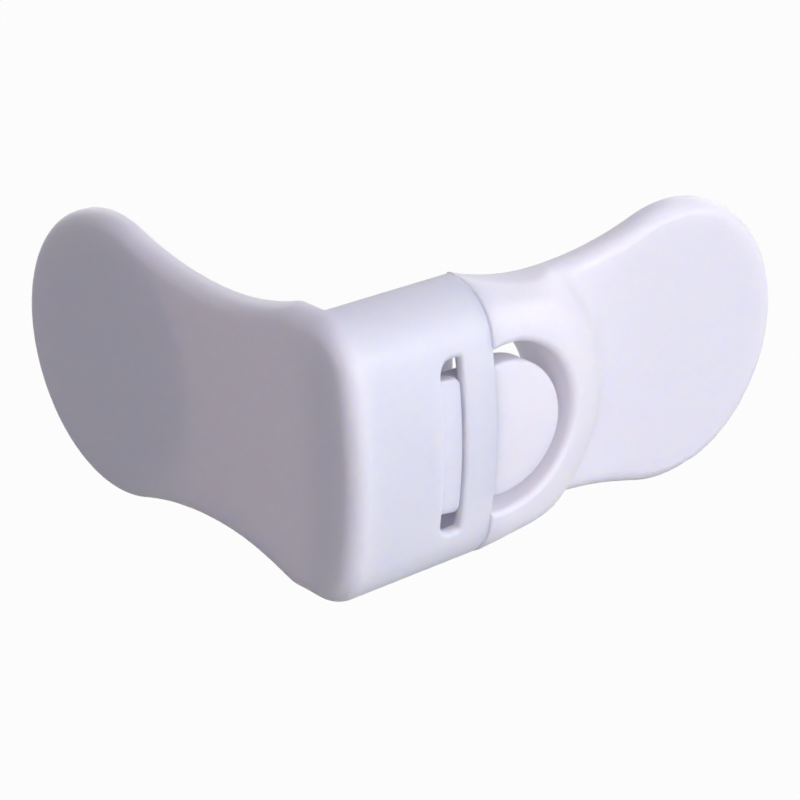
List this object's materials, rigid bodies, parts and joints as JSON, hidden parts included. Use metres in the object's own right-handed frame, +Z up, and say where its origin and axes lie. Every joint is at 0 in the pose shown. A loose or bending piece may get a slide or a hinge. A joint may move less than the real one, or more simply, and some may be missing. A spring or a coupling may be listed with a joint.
{
  "type": "cabinet safety lock",
  "caption": "Right-angle child-safety lock for a drawer or cabinet door: a corner housing and a plug, each with a round stick-on paddle, joined by a flexing tongue with a thumb button.",
  "frame": {"origin": "middle of the adhesive face of the plug's foam pad, where it sticks to the cabinet", "axes": "+X along the plug's wing away from the corner, +Y into the cabinet, +Z up along the socket's height"},
  "size_m": [0.0857, 0.0776, 0.0424],
  "materials": {
    "satin_abs": "satin",
    "foam_tape": "matte"
  },
  "bodies": {
    "plug": {"plug_body": "satin_abs", "plug_pad": "foam_tape"},
    "tongue": {"latch_tongue": "satin_abs"},
    "housing": {"corner_housing": "satin_abs", "housing_pad": "foam_tape"}
  },
  "joints": [
    {"name": "tongue_flex", "type": "hinge", "parent": "plug", "child": "tongue", "pos_m": [-0.0573, -0.007, 0], "axis": [0, 0, 1], "range_deg": [0, 7.5], "stiffness_Nm_per_rad": 1.5},
    {"name": "lock_slide", "type": "slide", "parent": "plug", "child": "housing", "axis": [-1, 0, 0], "range_m": [0, 0.06]}
  ]
}
